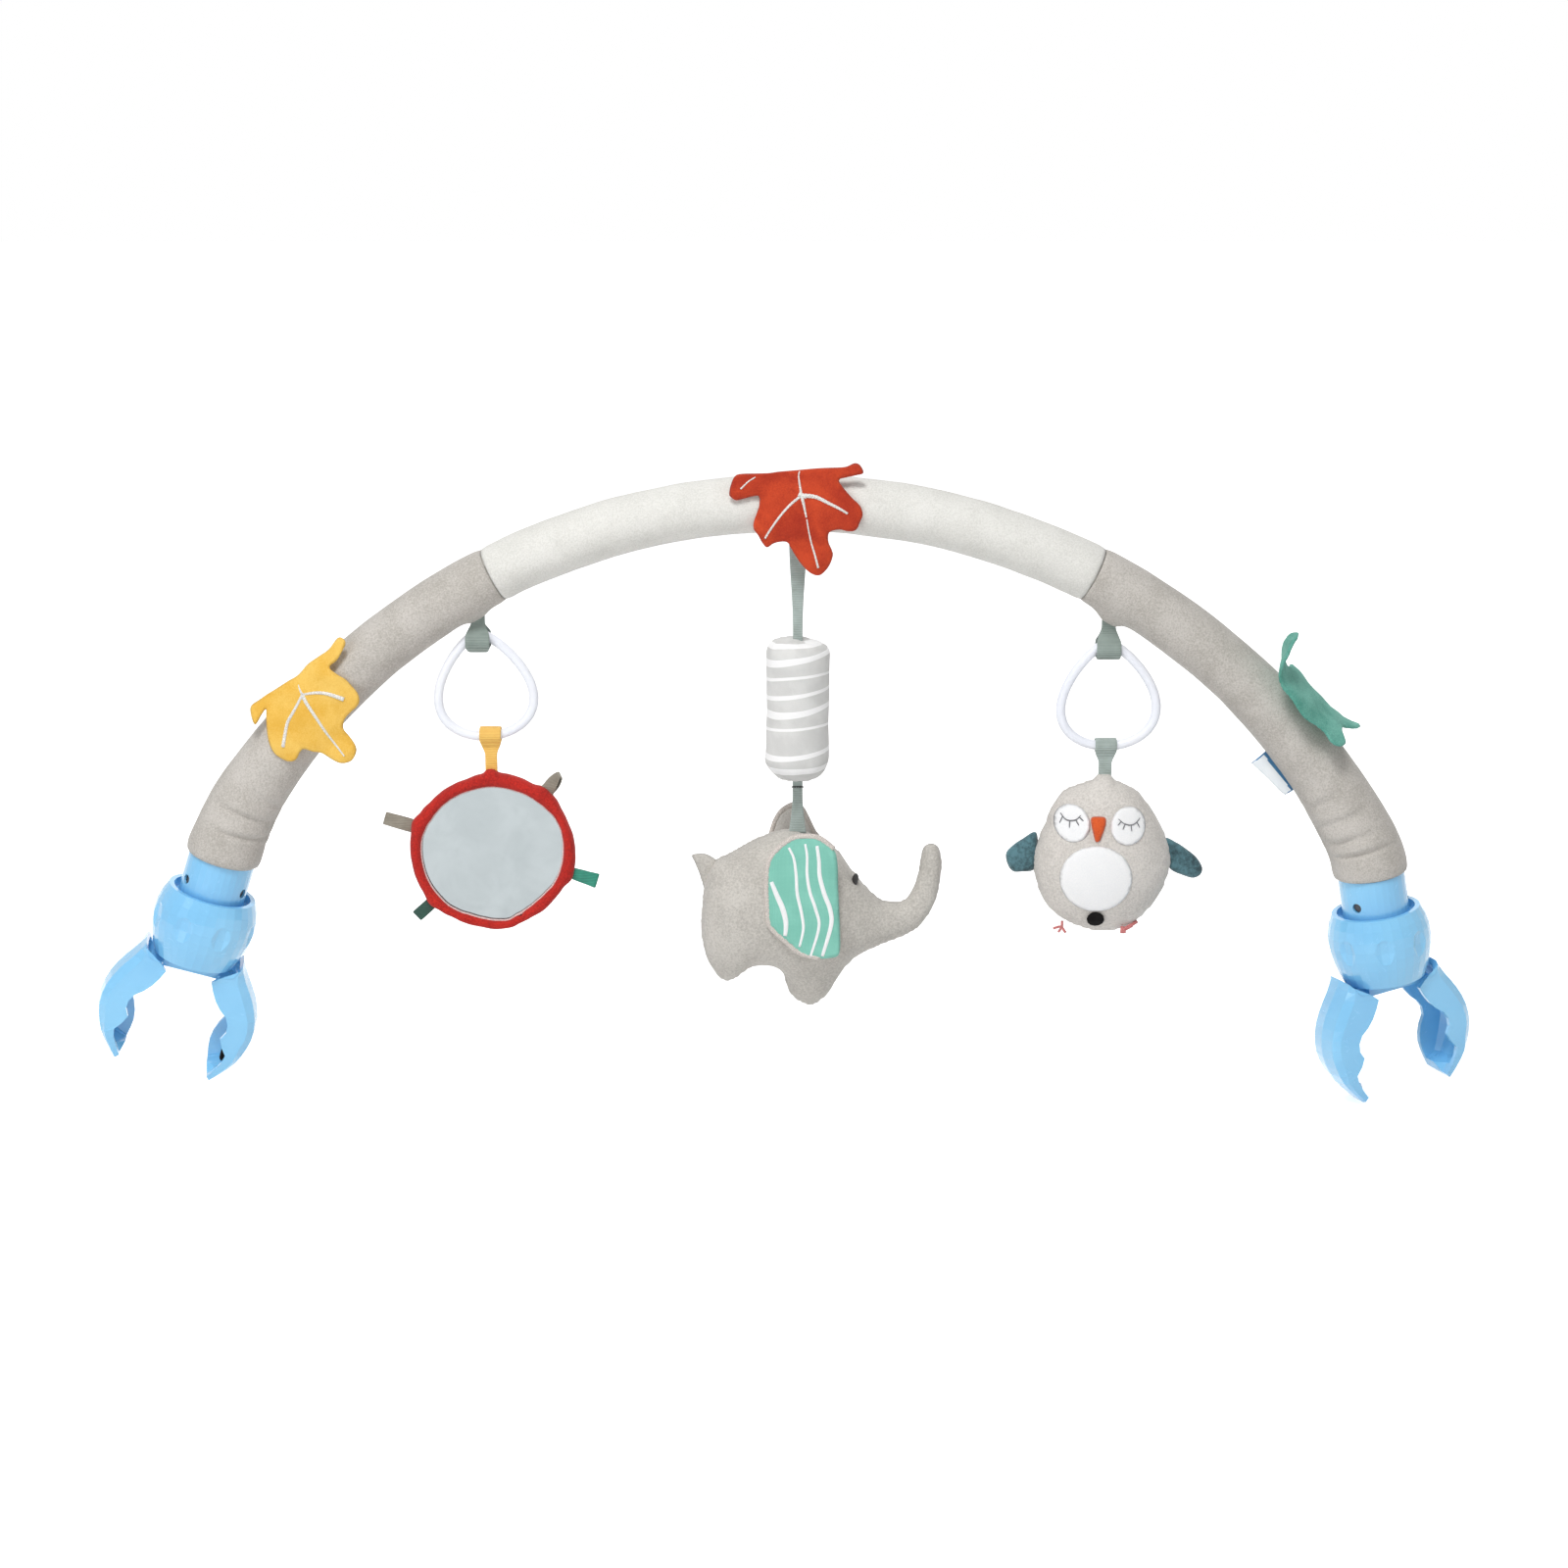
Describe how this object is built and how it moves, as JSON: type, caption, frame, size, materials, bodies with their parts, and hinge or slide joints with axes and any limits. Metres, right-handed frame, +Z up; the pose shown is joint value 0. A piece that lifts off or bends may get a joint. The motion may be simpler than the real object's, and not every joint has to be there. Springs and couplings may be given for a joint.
{
  "type": "stroller arch toy",
  "caption": "Padded stroller arch with screw-closed claws at its ends and hanging mirror, rattle with elephant and owl toys, with cloth leaves.",
  "frame": {"origin": "midway between the grips of the two claws, where the stroller's bars run, under the crown of the arch", "axes": "+X to the right along the arch, -Y to the side the toys face, +Z up"},
  "size_m": [0.6479, 0.0532, 0.3031],
  "materials": {
    "cream": "brushed plush cloth",
    "grey": "brushed plush cloth",
    "foam": "soft foam",
    "core": "flexible rod",
    "white_plastic": "moulded",
    "blue_plastic": "glossy moulded",
    "steel": "plain steel",
    "black_rubber": "satin",
    "ring_plastic": "milky, satin",
    "ribbon_grey_green": "woven ribbon",
    "ribbon_yellow": "woven ribbon",
    "felt_red": "plush cloth with stitched veins",
    "felt_yellow": "plush cloth with stitched veins",
    "felt_green": "plush cloth with stitched veins",
    "frame_red": "plush cloth",
    "mirror": "safe plastic mirror film",
    "tab_taupe": "folded satin ribbon",
    "tab_green": "folded satin ribbon",
    "tab_dark_green": "folded satin ribbon",
    "striped": "grey cloth with white wavy stripes",
    "plush_grey": "soft plush",
    "ear_mint": "mint cloth with white wavy stripes and piping",
    "felt_white": "felt",
    "wing_teal": "plush cloth",
    "beak_orange": "felt",
    "tag_white": "woven tag, left plain"
  },
  "bodies": {
    "arch": {"arch_core": "core", "foam_padding": "foam", "sleeve_centre": "cream", "sleeve_left": "grey", "sleeve_right": "grey", "end_plug_left": "white_plastic", "end_plug_right": "white_plastic", "hanger_loop_left": "ribbon_grey_green", "hanger_loop_right": "ribbon_grey_green", "leaf_red": "felt_red", "leaf_yellow": "felt_yellow", "leaf_green": "felt_green", "side_tag": "tag_white"},
    "claw_left": {"neck_left": "blue_plastic", "retaining_clip_left": "steel", "jaw_block_left": "blue_plastic", "left_jaw_pin_left": "steel", "right_jaw_pin_left": "steel"},
    "knob_left": {"knob_left": "blue_plastic"},
    "plunger_left": {"plunger_left": "white_plastic"},
    "left_jaw_left": {"left_jaw_left": "blue_plastic"},
    "right_jaw_left": {"right_jaw_left": "blue_plastic", "tip_bumper": "black_rubber"},
    "claw_right": {"neck_right": "blue_plastic", "retaining_clip_right": "steel", "jaw_block_right": "blue_plastic", "left_jaw_pin_right": "steel", "right_jaw_pin_right": "steel"},
    "knob_right": {"knob_right": "blue_plastic"},
    "plunger_right": {"plunger_right": "white_plastic"},
    "left_jaw_right": {"left_jaw_right": "blue_plastic"},
    "right_jaw_right": {"right_jaw_right": "blue_plastic"},
    "ring_left": {"ring_left": "ring_plastic"},
    "ring_right": {"ring_right": "ring_plastic"},
    "mirror": {"mirror_ribbon": "ribbon_yellow", "mirror_frame": "frame_red", "mirror_plate": "mirror", "mirror_tab_left": "tab_taupe", "mirror_tab_top": "tab_taupe", "mirror_tab_right": "tab_green", "mirror_tab_bottom": "tab_dark_green"},
    "owl": {"owl_ribbon": "ribbon_grey_green", "owl_body": "plush_grey", "owl_eye_left": "felt_white", "owl_eye_right": "felt_white", "owl_belly": "felt_white", "owl_beak": "beak_orange", "owl_button": "black_rubber"},
    "owl_wing_left": {"owl_wing_left": "wing_teal"},
    "owl_wing_right": {"owl_wing_right": "wing_teal"},
    "rattle": {"rattle_ribbon": "ribbon_grey_green", "rattle_cover": "striped", "rattle_capsule": "white_plastic"},
    "elephant": {"elephant_ribbon": "ribbon_grey_green", "elephant_body": "plush_grey", "elephant_head": "plush_grey", "elephant_hind_leg": "plush_grey", "elephant_front_leg": "plush_grey"},
    "elephant_ear_near": {"elephant_ear_near": "ear_mint"},
    "elephant_ear_far": {"elephant_ear_far": "ear_mint"}
  },
  "joints": [
    {"name": "claw_swivel_left", "type": "hinge", "parent": "arch", "child": "claw_left", "pos_m": [-0.2661, 0, 0.08456], "axis": [0.309, 0, 0.9511], "continuous": true},
    {"name": "knob_turn_left", "type": "hinge", "parent": "claw_left", "child": "knob_left", "pos_m": [-0.2661, 0, 0.08456], "axis": [0.309, 0, 0.9511], "range_deg": [0, 360]},
    {"name": "plunger_slide_left", "type": "slide", "parent": "claw_left", "child": "plunger_left", "axis": [0.309, 0, 0.9511], "range_m": [0, 0.00201]},
    {"name": "left_jaw_hinge_left", "type": "hinge", "parent": "claw_left", "child": "left_jaw_left", "pos_m": [-0.29127, -0.00139, 0.03911], "axis": [0.1324, -0.9903, -0.043], "range_deg": [0, 17.01]},
    {"name": "right_jaw_hinge_left", "type": "hinge", "parent": "claw_left", "child": "right_jaw_left", "pos_m": [-0.27244, 0.00139, 0.03299], "axis": [-0.1324, 0.9903, 0.043], "range_deg": [0, 17.01]},
    {"name": "claw_swivel_right", "type": "hinge", "parent": "arch", "child": "claw_right", "pos_m": [0.27008, 0, 0.07689], "axis": [-0.1736, 0, 0.9848], "continuous": true},
    {"name": "knob_turn_right", "type": "hinge", "parent": "claw_right", "child": "knob_right", "pos_m": [0.27008, 0, 0.07689], "axis": [-0.1736, 0, 0.9848], "range_deg": [0, 360]},
    {"name": "plunger_slide_right", "type": "slide", "parent": "claw_right", "child": "plunger_right", "axis": [-0.1736, 0, 0.9848], "range_m": [0, 0.00201]},
    {"name": "left_jaw_hinge_right", "type": "hinge", "parent": "claw_right", "child": "left_jaw_right", "pos_m": [0.26956, -0.00309, 0.02501], "axis": [0.3043, -0.9511, 0.0537], "range_deg": [0, 17.01]},
    {"name": "right_jaw_hinge_right", "type": "hinge", "parent": "claw_right", "child": "right_jaw_right", "pos_m": [0.2883, 0.00309, 0.02832], "axis": [-0.3043, 0.9511, -0.0537], "range_deg": [0, 17.01]},
    {"name": "ring_swing_left", "type": "hinge", "parent": "arch", "child": "ring_left", "pos_m": [-0.14418, 0, 0.18766], "axis": [1, 0, 0], "range_deg": [-60, 60]},
    {"name": "mirror_swing", "type": "hinge", "parent": "ring_left", "child": "mirror", "pos_m": [-0.1396, 0, 0.14321], "axis": [1, 0, 0], "range_deg": [-60, 60]},
    {"name": "ring_swing_right", "type": "hinge", "parent": "arch", "child": "ring_right", "pos_m": [0.14459, 0, 0.18363], "axis": [1, 0, 0], "range_deg": [-60, 60]},
    {"name": "owl_swing", "type": "hinge", "parent": "ring_right", "child": "owl", "pos_m": [0.14459, 0, 0.13809], "axis": [1, 0, 0], "range_deg": [-60, 60]},
    {"name": "rattle_swing", "type": "hinge", "parent": "arch", "child": "rattle", "pos_m": [0.0022, 0, 0.23689], "axis": [1, 0, 0], "range_deg": [-20, 60]},
    {"name": "elephant_swing", "type": "hinge", "parent": "rattle", "child": "elephant", "pos_m": [0.0022, 0, 0.12079], "axis": [1, 0, 0], "range_deg": [-45, 45]},
    {"name": "owl_wing_flap_left", "type": "hinge", "parent": "owl", "child": "owl_wing_left", "pos_m": [0.11451, 0, 0.09766], "axis": [0, 0, 1], "range_deg": [-10, 10], "stiffness_Nm_per_rad": 0.004},
    {"name": "owl_wing_flap_right", "type": "hinge", "parent": "owl", "child": "owl_wing_right", "pos_m": [0.17467, 0, 0.09766], "axis": [0, 0, 1], "range_deg": [-10, 10], "stiffness_Nm_per_rad": 0.004},
    {"name": "ear_flap_near", "type": "hinge", "parent": "elephant", "child": "elephant_ear_near", "pos_m": [0.0232, -0.0238, 0.09829], "axis": [0, 0, 1], "range_deg": [0, 40], "stiffness_Nm_per_rad": 0.004},
    {"name": "ear_flap_far", "type": "hinge", "parent": "elephant", "child": "elephant_ear_far", "pos_m": [0.01837, 0.0238, 0.10207], "axis": [0, 0, -1], "range_deg": [0, 40], "stiffness_Nm_per_rad": 0.004}
  ],
  "couplings": [
    {"joint": "plunger_slide_left", "follows": "knob_turn_left", "m_per_rad": 0.00031993},
    {"joint": "left_jaw_hinge_left", "follows": "knob_turn_left", "ratio": 0.047222},
    {"joint": "right_jaw_hinge_left", "follows": "knob_turn_left", "ratio": 0.047222},
    {"joint": "plunger_slide_right", "follows": "knob_turn_right", "m_per_rad": 0.00031993},
    {"joint": "left_jaw_hinge_right", "follows": "knob_turn_right", "ratio": 0.047222},
    {"joint": "right_jaw_hinge_right", "follows": "knob_turn_right", "ratio": 0.047222}
  ]
}
